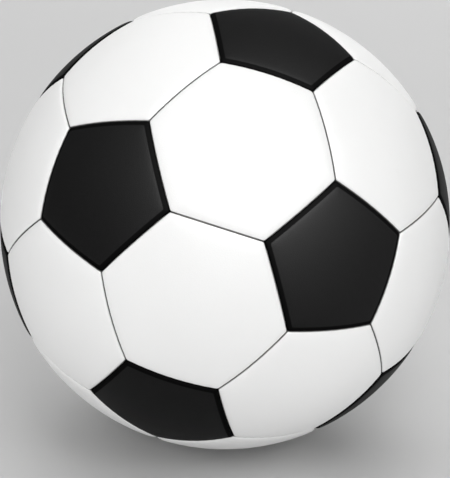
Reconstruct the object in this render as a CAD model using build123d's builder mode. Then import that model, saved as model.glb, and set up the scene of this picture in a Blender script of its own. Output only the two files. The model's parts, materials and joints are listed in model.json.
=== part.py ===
"""Size 5 soccer ball: 12 pentagon and 20 hexagon panels, hand-stitched over an inflated bladder.

The case is a truncated icosahedron blown up to a sphere. Each panel is a skin of synthetic leather whose
edges turn in towards the ball's centre, with a cloth lining laminated inside it. Neighbouring edges are sewn
together by a waxed thread that lies between them. The bladder fills the case, and its rubber valve comes up
through one hexagon. The origin is the ball's centre, and +Z is up as the ball lies.
"""

import os
from itertools import combinations, permutations
from math import atan, cos, degrees, pi, radians, sin, sqrt, tan

from build123d import *

# Case, in millimetres
ball_diameter = 220.0  # 691 mm round, as a size 5 ball is
skin_thickness = 1.6  # synthetic leather, on the face and along the turned-in edge
lining_thickness = 2.0  # four plies of cloth with the glue between them
glue_line = 0.15  # between parts that are bonded or pressed face to face
seam_gap = 0.2  # between the turned-in edges of two neighbours
panel_corner_radius = 2.4  # where three panels meet
panel_edge_radius = 1.2  # where the face rolls over into the seam
lining_corner_radius = 0.8

# Seam thread, in millimetres
thread_diameter = 0.9
thread_clearance = 0.15  # around the thread, in the channel it presses into the edges
thread_depth = 2.3  # from the ball's surface to the middle of the thread
thread_end_gap = 3.0  # from the middle of a corner to the end of the thread's run

# Bladder and valve, in millimetres
bladder_wall = 0.8
valve_patch_diameter = 44.0
valve_patch_thickness = 0.6
valve_flange_diameter = 26.0
valve_flange_thickness = 1.4
valve_stem_wall = 0.9  # around the seat of the core's head
valve_stem_sink = 0.5  # the stem's top lies this far under the ball's surface
valve_boot_wall = 2.3  # around the core's shank, in the boot
valve_boot_floor = 2.2  # under the core
valve_hole_clearance = 0.3  # around the stem, in the skin, lining and patch
valve_hole_edge_radius = 0.5
valve_exit_diameter = 3.0  # the hole in the boot's floor

core_length = 16.0
core_diameter = 5.2
core_head_diameter = 6.8
core_head_height = 1.4
core_head_sink = 0.2  # the head's top lies this far under the stem's top
core_head_edge_radius = 0.3
core_clearance = 0.08  # around the core, in the valve's bore
needle_diameter = 2.2  # the pump needle that the core's passage grips
needle_funnel_flare = 1.0  # by which the funnel's mouth is wider than the passage, all round
needle_funnel_depth = 1.0

# How the ball lies, in degrees: rolled about Y, then tilted about X, then turned about Z
lie_roll = 17.0
lie_tilt = -19.5
lie_turn = -2.0

# The hexagon that the valve comes through, as a direction before the ball is rolled, tilted and turned
valve_hexagon = Vector(-1, 1, 1)

# Radii worked out from the sizes above
ball_radius = ball_diameter / 2
case_inner_radius = ball_radius - skin_thickness - lining_thickness
lining_outer_radius = ball_radius - skin_thickness - glue_line
bladder_radius = case_inner_radius - glue_line
patch_outer_radius = case_inner_radius + valve_patch_thickness
flange_outer_radius = bladder_radius - bladder_wall - glue_line
thread_path_radius = ball_radius - thread_depth
thread_channel_radius = thread_diameter / 2 + thread_clearance
core_bore_radius = core_diameter / 2 + core_clearance
head_seat_radius = core_head_diameter / 2 + core_clearance
stem_radius = head_seat_radius + valve_stem_wall
stem_edge_radius = valve_stem_wall * 0.55
stem_hole_radius = stem_radius + valve_hole_clearance
stem_top = ball_radius - valve_stem_sink
core_top = stem_top - core_head_sink
core_bottom = core_top - core_length
boot_radius = core_bore_radius + valve_boot_wall
boot_bottom = core_bottom - core_clearance - valve_boot_floor
boot_top = flange_outer_radius - valve_flange_thickness

CENTRE = Vector(0, 0, 0)
POLES_ASIDE = (0, 90, 0)  # turns a sphere's poles and its seam line away from the panel around +Z
AT_BASE = (Align.CENTER, Align.CENTER, Align.MIN)
os.makedirs("parts", exist_ok=True)


def laid(direction):
    """A unit direction as it points once the ball is rolled, tilted and turned."""
    rolled = direction.normalized().rotate(Axis.Y, lie_roll)
    return rolled.rotate(Axis.X, lie_tilt).rotate(Axis.Z, lie_turn)


def top_down(directions):
    """Directions sorted from the top of the ball to its bottom."""
    return sorted(directions, key=lambda direction: (-round(direction.Z, 3), direction.X))


def corner_beside(pentagon, neighbour):
    """The corner of a pentagon panel that points at a neighbouring pentagon, a third of the way to it."""
    return (pentagon * 2 + neighbour).normalized()


def seat(centre, corner):
    """The plane through the ball's centre that faces a panel, with X towards one of its corners."""
    return Plane(CENTRE, x_dir=corner - centre * centre.dot(corner), z_dir=centre)


# Pentagon centres are the corners of an icosahedron, three mutual neighbours of which enclose a hexagon.
golden = (1 + sqrt(5)) / 2
icosahedron = []
for long_side in (golden, -golden):
    for short_side in (1, -1):
        icosahedron.append(laid(Vector(0, short_side, long_side)))
        icosahedron.append(laid(Vector(short_side, long_side, 0)))
        icosahedron.append(laid(Vector(long_side, 0, short_side)))
pentagon_centres = top_down(icosahedron)
neighbour_angle = degrees(atan(2)) + 1
adjacent = [pair for pair in combinations(pentagon_centres, 2) if pair[0].get_angle(pair[1]) < neighbour_angle]
triples = [
    triple
    for triple in combinations(pentagon_centres, 3)
    if all(a.get_angle(b) < neighbour_angle for a, b in combinations(triple, 2))
]

pentagon_seats = []
for centre in pentagon_centres:
    neighbour = next(b if a == centre else a for a, b in adjacent if centre in (a, b))
    pentagon_seats.append(seat(centre, corner_beside(centre, neighbour)))

hexagon_seats = []
for triple in triples:
    centre = (triple[0] + triple[1] + triple[2]).normalized()
    hexagon_seats.append(seat(centre, corner_beside(triple[0], triple[1])))
hexagon_seats.sort(key=lambda place: (-round(place.z_dir.Z, 3), place.z_dir.X))
valve_seat = min(hexagon_seats, key=lambda place: place.z_dir.get_angle(laid(valve_hexagon)))
hexagon_seats.remove(valve_seat)


def edge_angle(place, corner, sides):
    """The angle at the ball's centre from a panel's middle to the middle of one of its edges."""
    corner_angle = radians(place.z_dir.get_angle(corner))
    return atan(tan(corner_angle) * cos(pi / sides))


first_pair = corner_beside(*adjacent[0])
first_triple = triples[0]
pentagon_edge_angle = edge_angle(seat(adjacent[0][0], first_pair), first_pair, 5)
hexagon_middle = (first_triple[0] + first_triple[1] + first_triple[2]).normalized()
hexagon_corner = corner_beside(first_triple[0], first_triple[1])
hexagon_edge_angle = edge_angle(seat(hexagon_middle, hexagon_corner), hexagon_corner, 6)

# Every seam is equally long, so every thread turns through the same angle about the ball's centre.
seam_sweep = hexagon_corner.get_angle(corner_beside(first_triple[1], first_triple[0]))
thread_sweep = seam_sweep - 2 * degrees(thread_end_gap / thread_path_radius)
channel_sweep = thread_sweep + 2 * degrees(thread_clearance / thread_path_radius)


def seam_planes(sides, angle, inset):
    """For a panel around +Z with a corner over +X, each seam's plane, moved in by inset and facing out."""
    planes = []
    for side in range(sides):
        heading = 2 * pi / sides * (side + 0.5)
        out = Vector(cos(heading), sin(heading), 0)
        facing = out * cos(angle) - Vector(0, 0, sin(angle))
        middle = out * sin(angle) + Vector(0, 0, cos(angle))
        planes.append(Plane(facing * -inset, x_dir=middle, z_dir=facing))
    return planes


def panel_cell(sides, angle, outer_radius, inner_radius, inset, corner_radius):
    """The solid between two spheres over one panel around +Z, its edges moved in by inset and its corners round."""
    with BuildPart() as cell:
        Sphere(outer_radius, rotation=POLES_ASIDE)
        Sphere(inner_radius, rotation=POLES_ASIDE, mode=Mode.SUBTRACT)
        for plane in seam_planes(sides, angle, inset):
            split(bisect_by=plane, keep=Keep.BOTTOM)
        fillet(cell.edges().filter_by(GeomType.LINE), radius=corner_radius)
    return cell.part


def panel_skin(sides, angle):
    """A panel's skin: a shallow pan whose edges turn in to the case's inside, with a channel for each thread."""
    with BuildPart() as skin:
        add(panel_cell(sides, angle, ball_radius, case_inner_radius, seam_gap / 2, panel_corner_radius))
        on_the_face = [edge for edge in skin.edges() if abs((edge @ 0.5).length - ball_radius) < seam_gap / 4]
        fillet(on_the_face, radius=panel_edge_radius)
        add(
            panel_cell(
                sides,
                angle,
                ball_radius - skin_thickness,
                case_inner_radius - lining_thickness,
                seam_gap / 2 + skin_thickness,
                lining_corner_radius,
            ),
            mode=Mode.SUBTRACT,
        )
        with Locations(*seam_planes(sides, angle, 0)):
            Torus(
                thread_path_radius,
                thread_channel_radius,
                major_angle=channel_sweep,
                rotation=(0, 0, -channel_sweep / 2),
                align=None,
                mode=Mode.SUBTRACT,
            )
    return skin.part


def panel_lining(sides, angle):
    """A panel's cloth lining, which fills the pan of its skin down to the edges of the pan."""
    edge = seam_gap / 2 + skin_thickness + glue_line
    return panel_cell(sides, angle, lining_outer_radius, case_inner_radius, edge, lining_corner_radius)


def write(part, name):
    """Labels a finished piece and writes its STEP file."""
    part.label = name
    export_step(part, f"parts/{name}.step")


pentagon_skin = panel_skin(5, pentagon_edge_angle)
pentagon_cloth = panel_lining(5, pentagon_edge_angle)
hexagon_skin = panel_skin(6, hexagon_edge_angle)
hexagon_cloth = panel_lining(6, hexagon_edge_angle)

# Black pentagon panels, numbered from the top of the ball down
for number, place in enumerate(pentagon_seats, start=1):
    with BuildPart() as pentagon_panel:
        with Locations(place):
            add(pentagon_skin)
    write(pentagon_panel.part, f"pentagon_panel_{number:02d}")

with BuildPart() as pentagon_linings:
    with Locations(*pentagon_seats):
        add(pentagon_cloth)
write(pentagon_linings.part, "pentagon_linings")

# White hexagon panels and their linings, numbered the same way, without the one that the valve comes through
for number, place in enumerate(hexagon_seats, start=1):
    with BuildPart() as hexagon_panel:
        with Locations(place):
            add(hexagon_skin)
    write(hexagon_panel.part, f"hexagon_panel_{number:02d}")
    with BuildPart() as hexagon_lining:
        with Locations(place):
            add(hexagon_cloth)
    write(hexagon_lining.part, f"hexagon_lining_{number:02d}")

# The valve's hexagon, with a round hole for the valve's stem
with BuildPart() as valve_panel:
    with Locations(valve_seat):
        add(hexagon_skin)
    with Locations(valve_seat.offset(ball_radius)):
        Hole(stem_hole_radius, depth=ball_radius - case_inner_radius)
    at_hole = [edge for edge in valve_panel.edges() if abs(edge.length - 2 * pi * stem_hole_radius) < seam_gap]
    fillet(max(at_hole, key=lambda edge: edge.center().length), radius=valve_hole_edge_radius)
write(valve_panel.part, "valve_panel")

# Its lining, with the stem's hole and a pocket for the patch
with BuildPart() as valve_panel_lining:
    with Locations(valve_seat):
        add(hexagon_cloth)
    with Locations(valve_seat.offset(ball_radius)):
        Hole(stem_hole_radius, depth=ball_radius - case_inner_radius)
    with BuildPart(valve_seat, mode=Mode.PRIVATE) as pocket:
        Cylinder(valve_patch_diameter / 2 + glue_line, ball_radius, align=AT_BASE)
        Sphere(patch_outer_radius + glue_line, rotation=POLES_ASIDE, mode=Mode.INTERSECT)
    add(pocket.part, mode=Mode.SUBTRACT)
write(valve_panel_lining.part, "valve_panel_lining")


def seam(corner, next_corner):
    """The plane of the seam between two corners of a panel, with X towards the seam's middle."""
    return Plane(CENTRE, x_dir=corner + next_corner, z_dir=corner.cross(next_corner))


def thread_runs(seams):
    """The threads along some seams, each a separate length that ends short of the corners."""
    with BuildPart() as threads:
        with Locations(*seams):
            Torus(
                thread_path_radius,
                thread_diameter / 2,
                major_angle=thread_sweep,
                rotation=(0, 0, -thread_sweep / 2),
                align=None,
            )
    return threads.part


# Thread of the 60 seams around the pentagons: beside each pentagon, one seam for each two of its neighbours
pentagon_seams = [
    seam(corner_beside(pentagon, left), corner_beside(pentagon, right))
    for triple in triples
    for pentagon, left, right in permutations(triple)
    if triple.index(left) < triple.index(right)
]
write(thread_runs(pentagon_seams), "pentagon_seam_thread")

# Thread of the 30 seams between two hexagons, each of which runs from one pentagon to the next
hexagon_seams = [
    seam(corner_beside(pentagon, neighbour), corner_beside(neighbour, pentagon)) for pentagon, neighbour in adjacent
]
write(thread_runs(hexagon_seams), "hexagon_seam_thread")

# Rubber bladder, open only where the valve is vulcanised into it
with BuildPart() as bladder:
    Sphere(bladder_radius)
    Sphere(bladder_radius - bladder_wall, mode=Mode.SUBTRACT)
    with Locations(valve_seat.offset(ball_radius)):
        Hole(stem_radius + glue_line, depth=ball_radius - boot_top)
write(bladder.part, "bladder")

# Round cloth patch that backs the lining around the valve
with BuildPart(valve_seat) as valve_patch:
    Cylinder(valve_patch_diameter / 2, ball_radius, align=AT_BASE)
    Cylinder(stem_hole_radius, ball_radius, align=AT_BASE, mode=Mode.SUBTRACT)
    Sphere(patch_outer_radius, rotation=POLES_ASIDE, mode=Mode.INTERSECT)
    Sphere(case_inner_radius, rotation=POLES_ASIDE, mode=Mode.SUBTRACT)
write(valve_patch.part, "valve_patch")

# Rubber valve: a flange inside the bladder, a stem up through the case and a boot that holds the core
with BuildPart(valve_seat) as valve_body:
    Sphere(flange_outer_radius, rotation=POLES_ASIDE)
    Sphere(flange_outer_radius - valve_flange_thickness, rotation=POLES_ASIDE, mode=Mode.SUBTRACT)
    Cylinder(valve_flange_diameter / 2, ball_radius, align=AT_BASE, mode=Mode.INTERSECT)
    with Locations((0, 0, boot_bottom)):
        Cylinder(boot_radius, boot_top - boot_bottom, align=AT_BASE)
        Cylinder(stem_radius, stem_top - boot_bottom, align=AT_BASE)
        Cylinder(valve_exit_diameter / 2, ball_radius, align=AT_BASE, mode=Mode.SUBTRACT)
    with Locations((0, 0, core_bottom - core_clearance)):
        Cylinder(core_bore_radius, ball_radius, align=AT_BASE, mode=Mode.SUBTRACT)
    with Locations((0, 0, core_top - core_head_height - core_clearance)):
        Cylinder(head_seat_radius, ball_radius, align=AT_BASE, mode=Mode.SUBTRACT)
    stem_rim = valve_body.edges().filter_by(GeomType.CIRCLE).sort_by(Axis(valve_seat.origin, valve_seat.z_dir))
    fillet(stem_rim[-2:].sort_by(SortBy.RADIUS)[-1], radius=stem_edge_radius)
write(valve_body.part, "valve_body")

# Push-fit core that the pump needle goes through, with a funnel in its head
with BuildPart(valve_seat) as valve_core:
    with Locations((0, 0, core_bottom)):
        Cylinder(core_diameter / 2, core_length, align=AT_BASE)
        Cylinder(needle_diameter / 2, core_length, align=AT_BASE, mode=Mode.SUBTRACT)
    with Locations((0, 0, core_top - core_head_height)):
        Cylinder(core_head_diameter / 2, core_head_height, align=AT_BASE)
        Cylinder(needle_diameter / 2, core_head_height, align=AT_BASE, mode=Mode.SUBTRACT)
    with Locations((0, 0, core_top - needle_funnel_depth)):
        Cone(
            needle_diameter / 2,
            needle_diameter / 2 + needle_funnel_flare,
            needle_funnel_depth,
            align=AT_BASE,
            mode=Mode.SUBTRACT,
        )
    head_rims = valve_core.edges().filter_by(GeomType.CIRCLE).sort_by(Axis(valve_seat.origin, valve_seat.z_dir))
    fillet(head_rims[-2:].sort_by(SortBy.RADIUS)[-1], radius=core_head_edge_radius)
write(valve_core.part, "valve_core")
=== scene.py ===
"""Looks of a 32-panel soccer ball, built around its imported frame.

The covers of the panels are pans with rolled edges, slightly pillowed and puckered at the stitches. They
stand for the frame's plain panels. Stitches stand for the plain thread, and turned rubber pieces for the
valve. The linings, the bladder and the patch keep their own shapes and get cloth and rubber finishes.
"""

import json
import math

import bpy
import numpy as np
from bpy.props import FloatProperty, FloatVectorProperty, IntProperty, PointerProperty
from mathutils import Matrix, Vector


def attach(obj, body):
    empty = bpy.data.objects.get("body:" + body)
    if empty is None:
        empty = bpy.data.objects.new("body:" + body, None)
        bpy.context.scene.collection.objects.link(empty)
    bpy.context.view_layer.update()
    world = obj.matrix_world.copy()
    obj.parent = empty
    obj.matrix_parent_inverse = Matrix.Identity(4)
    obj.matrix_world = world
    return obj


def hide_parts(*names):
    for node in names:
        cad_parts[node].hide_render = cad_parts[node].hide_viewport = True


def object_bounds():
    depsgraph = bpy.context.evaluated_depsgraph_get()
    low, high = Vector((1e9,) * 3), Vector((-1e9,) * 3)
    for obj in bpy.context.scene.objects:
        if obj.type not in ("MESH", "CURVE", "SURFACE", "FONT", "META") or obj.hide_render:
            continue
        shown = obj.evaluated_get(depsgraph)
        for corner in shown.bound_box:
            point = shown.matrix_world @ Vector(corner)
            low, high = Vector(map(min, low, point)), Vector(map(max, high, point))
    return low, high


bl_info = {
    "name": "Soccer Ball",
    "version": (1, 0, 0),
    "blender": (4, 5, 0),
    "location": "View3D > Sidebar > Ball",
    "description": "Covers, stitches and valve of a 32-panel soccer ball",
    "category": "Object",
}

MM = 0.001
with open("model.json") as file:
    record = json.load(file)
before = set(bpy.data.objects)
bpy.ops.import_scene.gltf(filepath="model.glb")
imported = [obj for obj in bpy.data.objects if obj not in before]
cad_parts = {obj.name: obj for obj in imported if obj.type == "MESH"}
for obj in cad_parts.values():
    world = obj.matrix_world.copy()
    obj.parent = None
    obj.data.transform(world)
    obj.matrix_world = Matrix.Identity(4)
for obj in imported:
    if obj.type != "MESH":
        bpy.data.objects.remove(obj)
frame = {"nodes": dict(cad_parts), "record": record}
CAD_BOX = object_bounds()
RADIUS = round(max(CAD_BOX[1][axis] - CAD_BOX[0][axis] for axis in range(3)) / 2 / MM)
MOUNTS = {mount["name"]: mount for mount in frame["record"]["mounts"]}
VALVE_AXIS = np.array(MOUNTS["needle_socket"]["axis"], float)
PASSAGE_RADIUS = MOUNTS["needle_socket"]["dims"]["r_mm"]

# Cosines between which two pentagons are neighbours: their middles are 63.4 degrees apart, which is 0.447.
NEIGHBOURS_BETWEEN = (0.3, 0.9)
SIDE_STEPS = 48  # points of a cover's outline along one of its sides
BAND = 7.0  # width of the finely divided band along each seam, in millimetres
SEAM_MARGIN = 3.0  # from a panel's corner to the end of a seam's thread, in millimetres
AIM_DROP = 0.0649  # how far under the ball's centre the camera aims, in ball radii


# Shapes


def unit(vectors):
    """Vectors divided by their lengths."""
    return vectors / np.linalg.norm(vectors, axis=-1, keepdims=True)


def node_direction(name):
    """Direction from the ball's centre to the middle of a frame node, weighted by its triangles' areas."""
    mesh = frame["nodes"][name].data
    mesh.calc_loop_triangles()
    points = np.empty(len(mesh.vertices) * 3)
    mesh.vertices.foreach_get("co", points)
    corners = np.empty(len(mesh.loop_triangles) * 3, int)
    mesh.loop_triangles.foreach_get("vertices", corners)
    triangles = points.reshape(-1, 3)[corners.reshape(-1, 3)]
    crossed = np.cross(triangles[:, 1] - triangles[:, 0], triangles[:, 2] - triangles[:, 0])
    areas = np.linalg.norm(crossed, axis=1)
    return unit((triangles.mean(axis=1) * areas[:, None]).sum(axis=0))


NODES = sorted(frame["nodes"])
PENTAGON_NODES = [name for name in NODES if name.startswith("pentagon_panel_")]
HEXAGON_NODES = [name for name in NODES if name.startswith("hexagon_panel_")]
VALVE_NODE = "valve_panel"
PENTAGONS = np.array([node_direction(name) for name in PENTAGON_NODES])


def corner_beside(pentagon, neighbour):
    """The corner of a pentagon that points at a neighbour, a third of the way there."""
    return unit(2 * pentagon + neighbour)


def pentagon_place(name):
    """Middle and first corner of a pentagon panel."""
    middle = PENTAGONS[PENTAGON_NODES.index(name)]
    nearest = PENTAGONS[np.argsort(-PENTAGONS @ middle)[1]]
    return middle, corner_beside(middle, nearest)


def hexagon_place(name):
    """Middle and first corner of a hexagon panel, which lies between the three pentagons nearest to it."""
    around = PENTAGONS[np.argsort(-PENTAGONS @ node_direction(name))[:3]]
    return unit(around.sum(axis=0)), corner_beside(around[0], around[1])


def reach(azimuth, sides, edge_angle, inset, radius, sharpness):
    """Angle from a panel's middle to its outline, at each azimuth from a corner.

    An edge is the plane through the ball's centre that leans edge_angle off the panel's axis, moved in by
    inset.
    A ray at angle theta and at turn delta from the edge's own azimuth meets it where
    cos(edge_angle) cos(delta) sin(theta) - sin(edge_angle) cos(theta) = -inset / radius.
    The edges join in a soft minimum, which rounds the corners: the sharper, the less round. Edges on the far
    side of the panel's axis are set aside at an angle that no outline reaches.
    """
    far_side = 3.0
    middles = (np.arange(sides) + 0.5) * 2 * math.pi / sides
    delta = np.asarray(azimuth)[..., None] - middles
    across = math.cos(edge_angle) * np.cos(delta)
    along = math.sin(edge_angle)
    size = np.hypot(across, along)
    angles = np.arctan2(along, across) - np.arcsin(np.clip(inset / radius / size, -1, 1))
    angles = np.where(np.cos(delta) > 0.3, angles, far_side)
    return -np.log(np.exp(-sharpness * angles).sum(axis=-1)) / sharpness


def edge_azimuths(sides, per_side):
    """Azimuths all round a panel. A sine takes them closer together at its corners."""
    steps = np.arange(per_side) / per_side
    crowding = 0.09
    eased = steps - crowding * np.sin(2 * math.pi * steps)
    return ((np.arange(sides)[:, None] + eased) * 2 * math.pi / sides).ravel()


def closed_mesh(name, rings, first_pole, last_pole):
    """A mesh from a stack of rings of points, closed at each end by a pole or, without poles, end to end."""
    rows, columns = rings.shape[:2]
    points = rings.reshape(-1, 3)
    row = np.arange(rows - 1 if first_pole is not None else rows)
    here = np.arange(columns)
    beside = (here + 1) % columns
    below = (row + 1) % rows
    quads = np.stack(
        [
            row[:, None] * columns + here,
            below[:, None] * columns + here,
            below[:, None] * columns + beside,
            row[:, None] * columns + beside,
        ],
        axis=-1,
    ).reshape(-1, 4)
    faces = quads.tolist()
    if first_pole is not None:
        points = np.vstack([points, first_pole, last_pole])
        top, bottom = len(points) - 2, len(points) - 1
        last = (rows - 1) * columns
        faces += np.stack([np.full(columns, top), here, beside], axis=-1).tolist()
        faces += np.stack([np.full(columns, bottom), last + beside, last + here], axis=-1).tolist()
    mesh = bpy.data.meshes.new(name)
    mesh.from_pydata((points * MM).tolist(), [], faces)
    mesh.shade_smooth()
    return mesh


def add_piece(name, mesh, material, body, replaced=()):
    """Puts a finished mesh into the scene as one piece of a body, in place of some frame nodes."""
    piece = bpy.data.objects.new(name, mesh)
    bpy.context.scene.collection.objects.link(piece)
    mesh.materials.append(material)
    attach(piece, body)
    if replaced:
        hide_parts(*replaced)


def face_drop(distance, wave, cover):
    """How far a cover's face lies under the sphere, at a distance x in from the wall.

    It is the sum of the roll, a quarter circle of the edge's radius; the pillow, its depth times
    exp(-x / spread); and the puckers, their depth times the wave times exp(-(x / half a stitch) squared).
    """
    roll = cover.edge_roll
    rolled = roll * (1 - np.sqrt(np.clip(1 - np.clip(1 - distance / roll, 0, 1) ** 2, 0, 1)))
    pillow = cover.pillow_depth * np.exp(-distance / cover.pillow_spread)
    puckers = cover.pucker_depth * wave * np.exp(-((distance / (0.5 * cover.stitch_pitch)) ** 2))
    return rolled + pillow + puckers


def stitch_wave(azimuth, sides, edge_angle, cover):
    """A cosine along each side, between 0 and 1, with one wave for each stitch.

    The waves are a fiftieth longer than the side's even shares.
    """
    shortening = 0.98
    side_turn = (azimuth % (2 * math.pi / sides)) - math.pi / sides
    edge_length = 2 * RADIUS * math.sin(edge_angle) * math.tan(math.pi / sides)
    along_edge = RADIUS * math.sin(edge_angle) * np.tan(side_turn) * shortening
    stitches = round(edge_length / cover.stitch_pitch)
    return 0.5 + 0.5 * np.cos(2 * math.pi * along_edge * stitches / edge_length)


def cover_mesh(name, sides, middle, corner, cover, hole_radius=0.0):
    """A panel's cover: a pan over one polygon of the sphere, with its edges rolled over and turned in.

    Its rings run from the middle, or from the lip of the valve's hole, over the face to the seam's wall,
    down the wall, and back under the skin. The face lies under the sphere by face_drop. Inside, the pan is
    the same outline moved in by the skin's thickness.
    """
    lip_rings, face_rings, roll_rings, wall_rings = 5, 12, 8, 3
    band_distances = (BAND, 5.2, 3.9, 2.9, 2.2, 1.7)
    axis_x = unit(corner - middle * (corner @ middle))
    axis_y = np.cross(middle, axis_x)
    corner_angle = math.acos(corner @ middle)
    edge_angle = math.atan(math.tan(corner_angle) * math.cos(math.pi / sides))
    corner_cut = cover.corner_radius * (1 / math.cos(math.pi / sides) - 1)
    sharpness = math.log(2) * RADIUS / corner_cut
    azimuth = edge_azimuths(sides, SIDE_STEPS)
    wave = stitch_wave(azimuth, sides, edge_angle, cover)
    roll = cover.edge_roll
    wall = cover.seam_gap / 2
    skin = cover.skin_thickness
    under_skin = RADIUS - skin
    rim_radius = RADIUS - cover.case_depth
    half_width = RADIUS * edge_angle
    angles, radii, distances = [], [], []

    def outline(inset, radius):
        """Angles of the outline moved in by inset, at one radius."""
        return reach(azimuth, sides, edge_angle, inset, radius, sharpness)

    def add_ring(angle, radius, distance=0.0):
        """Keeps one ring of the cover, with its distance in from the wall."""
        angles.append(np.broadcast_to(angle, azimuth.shape))
        radii.append(np.broadcast_to(radius, azimuth.shape))
        distances.append(np.full(azimuth.shape, float(distance)))

    def add_face_ring(angle, distance):
        """Keeps one ring of the face."""
        add_ring(angle, RADIUS - face_drop(np.full(azimuth.shape, distance), wave, cover), distance)

    start, first_share = 0.0, 1
    if hole_radius:
        hole_angle = hole_radius / RADIUS
        lip = min(0.45, skin * 0.3)
        for turn in np.linspace(0, math.pi / 2, lip_rings)[:-1]:
            spread = lip * (1 - math.cos(turn))
            add_ring(hole_angle + spread / RADIUS, RADIUS - lip * (1 - math.sin(turn)), half_width)
        start, first_share = hole_angle + lip / RADIUS, 0
    band_angle = outline(wall + BAND, RADIUS)
    for share in np.linspace(0, 1, face_rings)[first_share:-1]:
        add_face_ring(start + (band_angle - start) * share, half_width * (1 - share) + BAND * share)
    for distance in band_distances:
        add_face_ring(outline(wall + distance, RADIUS), distance)
    for turn in np.linspace(0, math.pi / 2, roll_rings):
        distance = roll * (1 - math.sin(turn))
        add_face_ring(outline(wall + distance, RADIUS), distance)
    for radius in np.linspace(RADIUS - roll - 0.9, rim_radius, wall_rings):
        add_ring(outline(wall, radius), radius)
    add_ring(outline(wall + skin, rim_radius), rim_radius)
    inner_angle = outline(wall + skin, under_skin)
    add_ring(inner_angle, under_skin)
    for share in (0.8, 0.5, 0.2):
        add_ring(start + (inner_angle - start) * share, under_skin)
    if hole_radius:
        add_ring(hole_angle, under_skin)

    angles, radii = np.array(angles), np.array(radii)
    flat = np.cos(azimuth)[:, None] * axis_x + np.sin(azimuth)[:, None] * axis_y
    rings = (np.cos(angles)[..., None] * middle + np.sin(angles)[..., None] * flat) * radii[..., None]
    values = np.array(distances).ravel()
    if hole_radius:
        mesh = closed_mesh(name, rings, None, None)
    else:
        mesh = closed_mesh(name, rings, middle * RADIUS, middle * under_skin)
        values = np.append(values, [half_width, 0.0])
    attribute = mesh.attributes.new("from_edge", "FLOAT", "POINT")
    attribute.data.foreach_set("value", values.astype(np.float32))
    return mesh


def tube_rings(path, across, above, radius, count):
    """Rings around many paths at once: each point of a path, plus a circle in two directions' plane."""
    turn = np.arange(count) * 2 * math.pi / count
    circle = np.cos(turn)[:, None] * across[..., None, :] + np.sin(turn)[:, None] * above[..., None, :]
    return path[..., None, :] + circle * np.asarray(radius)[..., None, None]


def tube_faces(rings, first_point):
    """Faces of many closed tubes, each a stack of rings that ends in two flat caps."""
    tubes, rows, columns = rings.shape[:3]
    row = np.arange(rows - 1)[:, None] * columns
    here = np.arange(columns)
    beside = (here + 1) % columns
    corners = [row + here, row + beside, row + columns + beside, row + columns + here]
    quads = np.stack(corners, axis=-1).reshape(-1, 4)
    caps = np.stack([here[::-1], (rows - 1) * columns + here])
    start = first_point + (np.arange(tubes) * rows * columns)[:, None, None]
    return (quads[None] + start).reshape(-1, 4).tolist() + (caps[None] + start).reshape(-1, columns).tolist()


def tubes_mesh(name, *stacks):
    """One mesh of all the tubes in some stacks of rings."""
    points, faces = np.empty((0, 3)), []
    for rings in stacks:
        faces += tube_faces(rings, len(points))
        points = np.vstack([points, rings.reshape(-1, 3)])
    mesh = bpy.data.meshes.new(name)
    mesh.from_pydata((points * MM).tolist(), [], faces)
    mesh.shade_smooth()
    return mesh


def seam_ends(kind):
    """Both ends of each seam of one kind, as directions."""
    closeness = PENTAGONS @ PENTAGONS.T
    least, most = NEIGHBOURS_BETWEEN
    neighbours = [np.flatnonzero((row > least) & (row < most)) for row in closeness]
    starts, ends = [], []
    for first, around in enumerate(neighbours):
        for second in around:
            if kind == "hexagon" and first < second:
                starts.append(corner_beside(PENTAGONS[first], PENTAGONS[second]))
                ends.append(corner_beside(PENTAGONS[second], PENTAGONS[first]))
            for third in around:
                if kind == "pentagon" and second < third and closeness[second, third] > least:
                    starts.append(corner_beside(PENTAGONS[first], PENTAGONS[second]))
                    ends.append(corner_beside(PENTAGONS[first], PENTAGONS[third]))
    return np.array(starts), np.array(ends)


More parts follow.
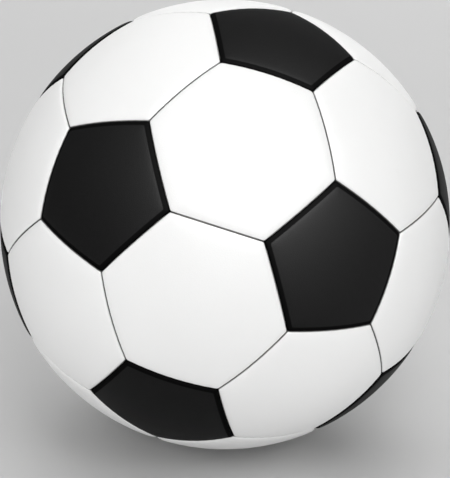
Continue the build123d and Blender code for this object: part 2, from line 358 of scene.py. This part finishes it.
def stitches_mesh(name, kind, cover):
    """The thread of one kind of seam: a long run in each seam, and a slanted stitch across it for each hole.

    A run follows the seam at the depth of its channel. A stitch crosses from one wall to the other on a
    parabola that is highest over the seam's middle, just under the valley between the two covers, and leans
    along the seam as it crosses. It thins towards its ends with the fourth power of its way across.
    """
    tube_sides, run_points, stitch_points = 6, 18, 5
    half_span, lean = 0.8, 0.7
    crest_depth, sag = 0.4, 0.6
    stitch_share, taper, run_end_share = 0.36, 0.75, 0.2
    starts, ends = seam_ends(kind)
    middles = unit(starts + ends)
    normals = unit(np.cross(starts, ends))
    forward = np.cross(normals, middles)
    half = np.arccos(np.clip((starts * middles).sum(axis=1), -1, 1))[0]
    count = round(2 * half * RADIUS / cover.stitch_pitch)
    reached = half - SEAM_MARGIN / RADIUS

    def on_seam(angle):
        """Outward and forward directions at an angle from each seam's middle."""
        outward = np.cos(angle)[..., None] * middles[:, None] + np.sin(angle)[..., None] * forward[:, None]
        ahead = -np.sin(angle)[..., None] * middles[:, None] + np.cos(angle)[..., None] * forward[:, None]
        return outward, ahead

    run_angle = np.broadcast_to(np.linspace(-reached, reached, run_points), (len(middles), run_points))
    outward = on_seam(run_angle)[0]
    across = np.broadcast_to(normals[:, None], outward.shape)
    radius = np.full(run_angle.shape, cover.thread_thickness / 2)
    radius[:, [0, -1]] *= run_end_share
    runs = tube_rings(outward * (RADIUS - cover.thread_depth), across, outward, radius, tube_sides)

    place = (np.arange(count) + 0.5 - count / 2) / count * 2 * reached
    sway = np.linspace(-1, 1, stitch_points)
    angle = (place[:, None] + sway * lean / RADIUS).ravel()
    angle = np.broadcast_to(angle, (len(middles), angle.size))
    outward, ahead = on_seam(angle)
    sway = np.tile(sway, count)
    valley = cover.edge_roll + cover.pillow_depth
    height = RADIUS - valley - crest_depth - sag * sway**2
    path = outward * height[:, None] + normals[:, None] * (half_span * sway)[:, None]
    radius = cover.thread_thickness * stitch_share * (1 - taper * np.abs(sway) ** 4)
    radius = np.broadcast_to(radius, angle.shape)
    rings = tube_rings(path, -ahead, outward, radius, tube_sides)
    return tubes_mesh(name, runs, rings.reshape(-1, stitch_points, tube_sides, 3))


def turned_mesh(name, profile, axis, columns=72):
    """A closed profile of radius and height turned about an axis through the ball's centre.

    The profile's signed area tells which way it runs, and one that would face inwards is taken backwards.
    """
    profile = np.array(profile, float)
    radius, height = profile.T
    if np.sum(radius * np.roll(height, -1) - np.roll(radius, -1) * height) > 0:
        profile = profile[::-1]
    side = unit(np.cross(axis, [0.0, 0.0, 1.0]))
    other = np.cross(axis, side)
    turn = np.arange(columns) * 2 * math.pi / columns
    around = np.cos(turn)[:, None] * side + np.sin(turn)[:, None] * other
    rings = profile[:, 0, None, None] * around + (profile[:, 1, None] * axis)[:, None]
    return closed_mesh(name, rings, None, None)


def arc(middle, radius, start, end, count=6):
    """Points of a profile along an arc, from one angle to another in degrees."""
    turn = np.radians(np.linspace(start, end, count))
    return [(middle[0] + radius * math.cos(t), middle[1] + radius * math.sin(t)) for t in turn]


def core_ends(valve):
    """Heights of the core's top and bottom. Its top lies a little under the stem's."""
    top = RADIUS - valve.stem_sink - 0.2
    return top, top - valve.core_length


def stem_profile(valve):
    """The rubber valve: over the core's seat and the stem, out over the flange, and in round the boot."""
    vent_radius, boot_radius, flange_middle = 1.5, 5.0, 12.2
    play, boot_floor = 0.08, 2.2
    lip, shoulder, rim, heel = 0.25, 0.45, 0.7, 0.7
    core_top, core_bottom = core_ends(valve)
    top = RADIUS - valve.stem_sink
    bore_bottom = core_bottom - play
    seat = core_top - valve.head_height - play
    boot_bottom = bore_bottom - boot_floor
    inside = RADIUS - 6.1
    return (
        [(vent_radius, bore_bottom), (valve.bore_radius, bore_bottom)]
        + [(valve.bore_radius, seat), (valve.seat_radius, seat)]
        + arc((valve.seat_radius + lip, top - lip), lip, 180, 90)
        + arc((valve.stem_radius - shoulder, top - shoulder), shoulder, 90, 0)
        + [(valve.stem_radius, inside + 1.4), (12.0, inside + 0.65)]
        + arc((flange_middle, inside - 0.1), rim, 80, -90)
        + [(boot_radius + 0.6, inside), (boot_radius, inside - 0.6)]
        + arc((boot_radius - heel, boot_bottom + heel), heel, 0, -90)
        + [(vent_radius, boot_bottom)]
    )


def plug_profile(valve):
    """The core: up its shank, round its head, and down a dimple to the needle's passage."""
    foot, brim, crown = 0.3, 0.15, 0.35
    dimple = [(2.45, 0.0), (2.25, 0.06), (2.1, 0.16), (1.7, 0.55), (1.3, 0.85), (PASSAGE_RADIUS, 1.0)]
    top, bottom = core_ends(valve)
    under_head = top - valve.head_height
    return (
        [(PASSAGE_RADIUS, bottom)]
        + arc((valve.core_radius - foot, bottom + foot), foot, -90, 0, 4)
        + [(valve.core_radius, under_head)]
        + arc((valve.head_radius - brim, under_head + brim), brim, -90, 0, 4)
        + arc((valve.head_radius - crown, top - crown), crown, 0, 90)
        + [(radius, top - depth) for radius, depth in dimple]
    )


# Finishes


class Value:
    """A number, colour or vector in a finish. Arithmetic on it adds Math nodes."""

    def __init__(self, finish, socket):
        self.finish = finish
        self.socket = socket

    def math(self, operation, *numbers):
        """One Math node on this value and any others."""
        return maths(self.finish, operation, self, *numbers)

    def beside(self, output):
        """Another output of the same node."""
        return Value(self.finish, self.socket.node.outputs[output])

    def __add__(self, other):
        return self.math("ADD", other)

    __radd__ = __add__

    def __sub__(self, other):
        return self.math("SUBTRACT", other)

    def __rsub__(self, other):
        return maths(self.finish, "SUBTRACT", other, self)

    def __mul__(self, other):
        return self.math("MULTIPLY", other)

    __rmul__ = __mul__


def maths(finish, operation, *numbers):
    """One Math node on some values or numbers."""
    return finish.node("ShaderNodeMath", {"operation": operation}, dict(enumerate(numbers)))


class Finish:
    """A procedural material. Each of its nodes comes from one method."""

    def __init__(self, name):
        self.material = bpy.data.materials.new(name)
        self.material.use_nodes = True
        self.tree = self.material.node_tree
        self.tree.nodes.clear()

    def node(self, kind, settings=None, sockets=None, output=0):
        """Adds a node: its settings first, then its sockets' values or links. Gives an output, if any."""
        made = self.tree.nodes.new(kind)
        for key, value in (settings or {}).items():
            setattr(made, key, value)
        for key, value in (sockets or {}).items():
            if isinstance(value, Value):
                self.tree.links.new(value.socket, made.inputs[key])
            else:
                made.inputs[key].default_value = value
        return Value(self, made.outputs[output]) if made.outputs else None

    def place(self):
        """Where a point of the surface is, in metres from the ball's centre."""
        return self.node("ShaderNodeTexCoord", output="Object")

    def attribute(self, name):
        """A number kept on the mesh."""
        return self.node("ShaderNodeAttribute", {"attribute_name": name}, output="Fac")

    def noise(self, scale, detail=2.0, roughness=0.5):
        """Soft noise with features of about 1 / scale metres."""
        sockets = {"Vector": self.place(), "Scale": scale, "Detail": detail, "Roughness": roughness}
        return self.node("ShaderNodeTexNoise", None, sockets, "Fac")

    def cells(self, scale, feature="F1"):
        """Distance from the middle, or from the edge, of cells about 1 / scale metres across."""
        sockets = {"Vector": self.place(), "Scale": scale}
        return self.node("ShaderNodeTexVoronoi", {"feature": feature}, sockets, "Distance")

    def ramp(self, value, low, high):
        """A number eased from 0 at low to 1 at high."""
        settings = {"interpolation_type": "SMOOTHSTEP"}
        sockets = {"Value": value, "From Min": low, "From Max": high}
        return self.node("ShaderNodeMapRange", settings, sockets)

    def mix(self, share, first, second):
        """One colour turned into another by a share: sockets 6 and 7 of a Mix node, and its output 2."""
        sockets = {"Factor": share, 6: first, 7: second}
        return self.node("ShaderNodeMix", {"data_type": "RGBA"}, sockets, 2)

    def bump(self, height, depth, strength):
        """A normal from a height between 0 and 1 that stands for a depth in millimetres."""
        sockets = {"Height": height, "Distance": depth * MM, "Strength": strength}
        return self.node("ShaderNodeBump", None, sockets, "Normal")

    def principled(self, sockets):
        """A Principled shader."""
        return self.node("ShaderNodeBsdfPrincipled", None, sockets, "BSDF")

    def end(self, shader):
        """Sends a shader to the surface and gives the material."""
        self.node("ShaderNodeOutputMaterial", None, {"Surface": shader})
        return self.material

    def shade(self, sockets):
        """Ends the finish in one Principled shader."""
        return self.end(self.principled(sockets))


def rgba(colour, factor=1.0):
    """A colour with alpha, made lighter or darker."""
    return tuple(min(1.0, channel * factor) for channel in colour[:3]) + (1.0,)


def grain(finish):
    """Height of synthetic leather's grain: fine cells with broad, soft unevenness."""
    creases = finish.ramp(finish.cells(1100.0, "DISTANCE_TO_EDGE"), 0.0, 0.22)
    return creases * 0.6 + finish.noise(2600.0, 3.0) * 0.3 + finish.noise(160.0, 2.0) * 0.35


def white_cover_finish(cover, colours):
    """White coated leather: faintly uneven in colour, rubbed here and there, and with painted shade down in
    the seams.
    """
    worn = (0.62, 0.61, 0.59, 1.0)
    seam_painted_shade = (0.05, 0.049, 0.048, 1.0)
    finish = Finish("white_cover")
    from_edge = finish.attribute("from_edge")
    broad = finish.noise(22.0, 3.0)
    base = finish.mix(broad, rgba(colours.white, 0.985), rgba(colours.white, 1.015))
    rub = finish.ramp(finish.noise(95.0, 5.0, 0.62), 0.68, 0.8) * 0.10
    base = finish.mix(rub, base, worn)
    # Painted shade: the colour turns near black down the rolled edge and the seam's wall, where shade falls
    # in the groove.
    seam = 1.0 - finish.ramp(from_edge, 0.05, 0.5)
    base = finish.mix(seam, base, seam_painted_shade)
    roughness = 0.36 + broad * 0.08 + rub * 0.9 + seam * 0.3
    normal = finish.bump(grain(finish), cover.grain_depth, 0.5)
    return finish.shade(
        {
            "Base Color": base,
            "Roughness": roughness,
            "Normal": normal,
            "Specular IOR Level": 0.35,
            "Coat Weight": 0.1,
            "Coat Roughness": 0.3,
        }
    )


def black_cover_finish(cover, colours):
    """Black coated leather: satin in the field; on the rolled border matt, with a darker copy of the colour
    as painted shade.
    """
    finish = Finish("black_cover")
    from_edge = finish.attribute("from_edge")
    broad = finish.noise(26.0, 3.0)
    normal = finish.bump(grain(finish), cover.grain_depth, 0.5)
    field = finish.principled(
        {
            "Base Color": finish.mix(broad, rgba(colours.black, 0.7), rgba(colours.black, 1.1)),
            "Roughness": 0.55 + broad * 0.06,
            "Normal": normal,
            "Specular IOR Level": 0.12,
        }
    )
    # Painted shade: the border is a darker, less reflective copy of the field, standing in for the rolled
    # edge turning away from the light.
    border = finish.principled(
        {
            "Base Color": finish.mix(broad, rgba(colours.black, 0.15), rgba(colours.black, 0.25)),
            "Roughness": 0.7 + broad * 0.1,
            "Normal": normal,
            "Specular IOR Level": 0.03,
        }
    )
    half_blend = 0.25
    inside = finish.ramp(from_edge, cover.border_width - half_blend, cover.border_width + half_blend)
    return finish.end(finish.node("ShaderNodeMixShader", None, {0: inside, 1: border, 2: field}, "Shader"))


def thread_finish(colours):
    """Waxed twisted thread."""
    finish = Finish("seam_thread")
    twist = finish.noise(3200.0, 2.0)
    base = finish.mix(twist, rgba(colours.thread, 0.7), rgba(colours.thread, 1.05))
    normal = finish.bump(twist, 0.12, 0.8)
    return finish.shade({"Base Color": base, "Roughness": 0.55 + twist * 0.2, "Normal": normal})


def cloth_finish(name, colour, pitch):
    """Woven cloth soaked in glue: three slanted sets of threads, and blotches where the glue is thicker."""
    finish = Finish(name)
    x = finish.node("ShaderNodeSeparateXYZ", None, {"Vector": finish.place()}, "X")
    y, z = x.beside("Y"), x.beside("Z")
    turns = 2 * math.pi / (pitch * MM)

    def wave(value):
        """One set of threads, between 0 and 1."""
        return (value * turns).math("SINE") * 0.5 + 0.5

    weave = (wave(x + z * 0.35) + wave(y - z * 0.35) + wave(z + x * 0.2)) * 0.333
    glue = finish.ramp(finish.noise(60.0, 4.0), 0.42, 0.62)
    base = finish.mix(weave, rgba(colour, 0.72), rgba(colour, 1.1))
    base = finish.mix(glue * 0.45, base, rgba(colour, 0.6))
    normal = finish.bump(weave, 0.15, 0.7)
    return finish.shade({"Base Color": base, "Roughness": 0.92 - glue * 0.35, "Normal": normal})


def rubber_finish(name, colour, roughness, mottle):
    """Moulded or dipped rubber with fine pits and a dusty bloom."""
    finish = Finish(name)
    bloom = finish.noise(90.0, 4.0)
    pits = finish.noise(1900.0, 2.0)
    base = finish.mix(bloom, rgba(colour, 1 - mottle), rgba(colour, 1 + mottle))
    normal = finish.bump(pits, 0.06, 0.6)
    return finish.shade({"Base Color": base, "Roughness": roughness + bloom * 0.15, "Normal": normal})


def coat_node(name, material):
    """Gives a frame node a finish of its own."""
    mesh = frame["nodes"][name].data
    mesh.materials.clear()
    mesh.materials.append(material)


# Settings


def size_setting(name, description, default, least):
    """A size in millimetres."""
    return FloatProperty(name=name, description=description, default=default, min=least)


def colour_setting(name, description, *default):
    """A colour, as shares of red, green and blue."""
    return FloatVectorProperty(
        name=name, description=description, subtype="COLOR", default=default, min=0, max=1
    )


def power_setting(name, description, default):
    """The power of a light."""
    return FloatProperty(name=name, description=description, default=default, min=0.0, unit="POWER")


class BallCoverSettings(bpy.types.PropertyGroup):
    """Sizes of the covers and their seams, in millimetres."""

    skin_thickness: size_setting("Skin", "Thickness of the synthetic leather", 1.6, 0.5)
    case_depth: size_setting("Edge depth", "How far the edges turn in", 3.6, 1.0)
    seam_gap: size_setting("Seam gap", "Between two turned-in edges", 0.2, 0.05)
    edge_roll: size_setting("Edge roll", "Radius of the rolled edge", 0.85, 0.2)
    corner_radius: size_setting("Corner", "Rounding of a panel's corners", 0.9, 0.2)
    pillow_depth: size_setting("Pillow", "How far the seams pull the face in", 0.8, 0.0)
    pillow_spread: size_setting("Pillow spread", "How far in the pull reaches", 1.7, 0.5)
    pucker_depth: size_setting("Puckers", "Dent beside each stitch", 0.07, 0.0)
    stitch_pitch: size_setting("Stitch pitch", "From one stitch to the next", 4.4, 1.0)
    thread_thickness: size_setting("Thread", "Thickness of the seam thread", 0.9, 0.2)
    thread_depth: size_setting("Thread depth", "Depth of the long runs", 2.3, 1.0)
    # Width of the black panels' matt border, whose darker colour is painted shade.
    border_width: size_setting("Black border", "Matt border of a black panel", 2.3, 0.5)
    grain_depth: size_setting("Grain", "Depth of the leather's grain", 0.05, 0.0)


class BallColourSettings(bpy.types.PropertyGroup):
    """Colours of the ball's materials."""

    white: colour_setting("White", "Hexagon panels", 0.86, 0.86, 0.855)
    black: colour_setting("Black", "Pentagon panels", 0.002, 0.002, 0.0021)
    thread: colour_setting("Thread", "Seam thread", 0.45, 0.44, 0.42)
    lining: colour_setting("Lining", "Lining cloth", 0.66, 0.62, 0.52)
    bladder: colour_setting("Bladder", "Bladder rubber", 0.07, 0.045, 0.032)
    valve: colour_setting("Valve", "Valve rubber", 0.018, 0.018, 0.019)
    core: colour_setting("Core", "Valve core rubber", 0.055, 0.055, 0.058)


class BallValveSettings(bpy.types.PropertyGroup):
    """Sizes of the valve, in millimetres."""

    hole_radius: size_setting("Hole", "Radius of the hole in the cover", 4.68, 1.0)
    stem_radius: size_setting("Stem", "Radius of the stem", 4.38, 1.0)
    stem_sink: size_setting("Sink", "Depth of the stem's top under the face", 0.5, 0.0)
    seat_radius: size_setting("Head seat", "Radius of the seat of the core's head", 3.48, 1.0)
    bore_radius: size_setting("Core bore", "Radius of the core's bore", 2.68, 0.5)
    head_radius: size_setting("Core head", "Radius of the core's head", 3.4, 0.5)
    head_height: size_setting("Head height", "Height of the core's head", 1.4, 0.5)
    core_radius: size_setting("Core", "Radius of the core's shank", 2.6, 0.5)
    core_length: size_setting("Core length", "Length of the core", 16.0, 4.0)


class BallStageSettings(bpy.types.PropertyGroup):
    """Floor, lights and camera."""

    floor: colour_setting("Floor", "Floor colour", 0.48, 0.48, 0.48)
    key_power: power_setting("Key", "Power of the light at the upper right", 12.0)
    gloss_power: power_setting("Gloss", "Power of the light for highlights", 220.0)
    front_power: power_setting("Front", "Power of the light in front", 18.5)
    left_power: power_setting("Left", "Power of the light at the left", 14.0)
    right_power: power_setting("Right", "Power of the light at the right", 8.0)
    back_power: power_setting("Back", "Power of the light behind", 38.0)
    top_power: power_setting("Top", "Power of the light above", 17.0)
    world_light: FloatProperty(name="Room", description="Brightness of the room", default=0.17, min=0.0)
    lens: FloatProperty(name="Lens", description="Focal length in millimetres", default=168.6, min=10.0)
    distance: FloatProperty(name="Distance", description="Camera to centre, in radii", default=10.0, min=2.0)
    elevation: FloatProperty(name="Elevation", description="Camera above the horizon, degrees", default=20.0)
    backdrop_steps: IntProperty(name="Backdrop", description="Divisions of its bend", default=24, min=4)


# The studio's lights: name, size and place in metres, and the kind of ray that each leaves out. Only the key
# and the gloss light give highlights.
KEY_PLACE = (0.43, -1.3, 1.46)
LIGHTS = (
    ("key", 1.1, KEY_PLACE, None),
    ("gloss", 1.0, KEY_PLACE, "visible_diffuse"),
    ("front", 1.4, (0.0, -2.0, 0.35), "visible_glossy"),
    ("left", 1.6, (-2.0, -0.3, 0.5), "visible_glossy"),
    ("right", 1.6, (2.0, -0.3, 0.5), "visible_glossy"),
    ("back", 2.0, (0.3, 2.0, 1.0), "visible_glossy"),
    ("top", 1.6, (0.0, 0.2, 2.0), "visible_glossy"),
)


# Operators


def settings_of(context):
    """The scene's cover and colour settings."""
    return context.scene.ball_cover, context.scene.ball_colours


class BALL_OT_pentagon_covers(bpy.types.Operator):
    """Make the black covers of the twelve pentagon panels."""

    bl_idname = "ball.pentagon_covers"
    bl_label = "Pentagon Covers"

    def execute(self, context):
        cover, colours = settings_of(context)
        material = black_cover_finish(cover, colours)
        for node in PENTAGON_NODES:
            name = node.replace("panel", "cover")
            mesh = cover_mesh(name, 5, *pentagon_place(node), cover)
            add_piece(name, mesh, material, "ball", [node])
        return {"FINISHED"}


class BALL_OT_hexagon_covers(bpy.types.Operator):
    """Make the white covers of the twenty hexagon panels, one of them with the valve's hole."""

    bl_idname = "ball.hexagon_covers"
    bl_label = "Hexagon Covers"

    def execute(self, context):
        cover, colours = settings_of(context)
        material = white_cover_finish(cover, colours)
        for node in HEXAGON_NODES + [VALVE_NODE]:
            name = node.replace("panel", "cover")
            hole = context.scene.ball_valve.hole_radius if node == VALVE_NODE else 0.0
            mesh = cover_mesh(name, 6, *hexagon_place(node), cover, hole)
            add_piece(name, mesh, material, "ball", [node])
        return {"FINISHED"}


class BALL_OT_seam_stitches(bpy.types.Operator):
    """Make the thread of all ninety seams."""

    bl_idname = "ball.seam_stitches"
    bl_label = "Seam Stitches"

    def execute(self, context):
        cover, colours = settings_of(context)
        material = thread_finish(colours)
        for kind in ("pentagon", "hexagon"):
            mesh = stitches_mesh(f"{kind}_seam_stitches", kind, cover)
            add_piece(mesh.name, mesh, material, "ball", [f"{kind}_seam_thread"])
        return {"FINISHED"}


class BALL_OT_valve(bpy.types.Operator):
    """Make the rubber valve and the core that the needle goes through."""

    bl_idname = "ball.valve"
    bl_label = "Valve"

    def execute(self, context):
        valve = context.scene.ball_valve
        colours = context.scene.ball_colours
        stem = turned_mesh("valve_stem", stem_profile(valve), VALVE_AXIS)
        rubber = rubber_finish("valve_rubber", colours.valve, 0.5, 0.2)
        add_piece("valve_stem", stem, rubber, "ball", ["valve_body"])
        plug = turned_mesh("valve_plug", plug_profile(valve), VALVE_AXIS)
        plug_rubber = rubber_finish("core_rubber", colours.core, 0.42, 0.15)
        add_piece("valve_plug", plug, plug_rubber, "valve_core", ["valve_core"])
        return {"FINISHED"}


class BALL_OT_inner_pieces(bpy.types.Operator):
    """Finish the linings, the patch and the bladder, which keep the frame's shapes."""

    bl_idname = "ball.inner_pieces"
    bl_label = "Inner Pieces"

    def execute(self, context):
        colours = context.scene.ball_colours
        lining = cloth_finish("lining_cloth", colours.lining, 0.9)
        for name in NODES:
            if "lining" in name:
                coat_node(name, lining)
        coat_node("valve_patch", cloth_finish("patch_cloth", rgba(colours.lining, 0.9), 0.7))
        coat_node("bladder", rubber_finish("bladder_rubber", colours.bladder, 0.38, 0.3))
        return {"FINISHED"}


class BALL_OT_stage(bpy.types.Operator):
    """Set the floor and backdrop, the lights and the camera."""

    bl_idname = "ball.stage"
    bl_label = "Stage"

    def execute(self, context):
        scene = context.scene
        stage = scene.ball_stage
        scene.view_settings.view_transform = "Standard"
        self.add_floor(stage, scene)
        self.add_room(stage, scene)
        for name, size, place, left_out in LIGHTS:
            self.add_light(name, getattr(stage, f"{name}_power"), size, place, left_out)
        self.add_camera(stage, scene)
        return {"FINISHED"}

    def add_floor(self, stage, scene):
        """A flat floor that bends up into a wall behind the ball along a quarter circle."""
        front, bend_start, bend_radius, wall_top, half_width = -3.0, 1.6, 0.8, 3.5, 4.0
        ground = CAD_BOX[0][2]
        turn = np.linspace(0, math.pi / 2, stage.backdrop_steps)
        bend_depth = bend_start + bend_radius * np.sin(turn)
        bend_height = bend_radius - bend_radius * np.cos(turn)
        depth = np.concatenate([[front], bend_depth, [bend_start + bend_radius]])
        height = ground + np.concatenate([[0.0], bend_height, [wall_top]])
        sides = np.array([[-half_width], [half_width]])
        points = np.stack(np.broadcast_arrays(sides, depth, height), axis=-1).reshape(-1, 3)
        count = len(depth)
        row = np.arange(count - 1)
        faces = np.stack([row, row + count, row + count + 1, row + 1], axis=-1)
        mesh = bpy.data.meshes.new("studio_floor")
        mesh.from_pydata(points.tolist(), [], faces.tolist())
        mesh.shade_smooth()
        finish = Finish("studio_floor")
        tone = finish.mix(finish.noise(3.0, 2.0), rgba(stage.floor, 0.98), rgba(stage.floor, 1.02))
        mesh.materials.append(finish.shade({"Base Color": tone, "Roughness": 0.85}))
        floor = bpy.data.objects.new("studio_floor", mesh)
        scene.collection.objects.link(floor)

    def add_room(self, stage, scene):
        """Faint white light from all round."""
        world = bpy.data.worlds.new("studio")
        world.use_nodes = True
        background = world.node_tree.nodes["Background"]
        background.inputs["Color"].default_value = (1.0, 1.0, 1.0, 1.0)
        background.inputs["Strength"].default_value = stage.world_light
        scene.world = world

    def add_light(self, name, power, size, place, left_out=None):
        """A square soft light that faces the ball. One kind of ray can be left out of it."""
        light = bpy.data.lights.new(name, "AREA")
        light.energy = power
        light.size = size
        lamp = bpy.data.objects.new(name, light)
        lamp.location = place
        lamp.rotation_euler = Vector(place).to_track_quat("Z", "Y").to_euler()
        if left_out:
            setattr(lamp, left_out, False)
        bpy.context.scene.collection.objects.link(lamp)

    def add_camera(self, stage, scene):
        """A long lens in front of the ball, aimed a little under its middle."""
        lens = bpy.data.cameras.new("camera")
        lens.lens = stage.lens
        lens.sensor_width = 36.0
        lens.clip_end = 30.0
        camera = bpy.data.objects.new("camera", lens)
        tilt = math.radians(stage.elevation)
        back = Vector((0.0, -math.cos(tilt), math.sin(tilt)))
        upward = Vector((0.0, math.sin(tilt), math.cos(tilt)))
        place = back * stage.distance * RADIUS * MM
        aim = upward * (-AIM_DROP * RADIUS * MM)
        toward = (place - aim).normalized()
        right = Vector((1.0, 0.0, 0.0))
        above = toward.cross(right)
        turn = Matrix((right, above, toward)).transposed()
        camera.matrix_world = Matrix.Translation(place) @ turn.to_4x4()
        scene.collection.objects.link(camera)
        scene.camera = camera


class BALL_PT_pieces(bpy.types.Panel):
    """Buttons for each group of pieces."""

    bl_idname = "BALL_PT_pieces"
    bl_label = "Soccer Ball"
    bl_space_type = "VIEW_3D"
    bl_region_type = "UI"
    bl_category = "Ball"

    def draw(self, context):
        for operator in OPERATORS:
            self.layout.operator(operator.bl_idname)


OPERATORS = (
    BALL_OT_stage,
    BALL_OT_pentagon_covers,
    BALL_OT_hexagon_covers,
    BALL_OT_seam_stitches,
    BALL_OT_valve,
    BALL_OT_inner_pieces,
)
SETTINGS = {
    "ball_cover": BallCoverSettings,
    "ball_colours": BallColourSettings,
    "ball_valve": BallValveSettings,
    "ball_stage": BallStageSettings,
}


def register():
    """Registers the settings, operators and panel."""
    for name, group in SETTINGS.items():
        bpy.utils.register_class(group)
        setattr(bpy.types.Scene, name, PointerProperty(type=group))
    for operator in OPERATORS:
        bpy.utils.register_class(operator)
    bpy.utils.register_class(BALL_PT_pieces)


def unregister():
    """Takes them away again."""
    bpy.utils.unregister_class(BALL_PT_pieces)
    for operator in OPERATORS:
        bpy.utils.unregister_class(operator)
    for name, group in SETTINGS.items():
        delattr(bpy.types.Scene, name)
        bpy.utils.unregister_class(group)


def main():
    """Makes every piece in order."""
    register()
    bpy.ops.ball.stage()
    bpy.ops.ball.pentagon_covers()
    bpy.ops.ball.hexagon_covers()
    bpy.ops.ball.seam_stitches()
    bpy.ops.ball.valve()
    bpy.ops.ball.inner_pieces()


if __name__ == "__main__":
    main()
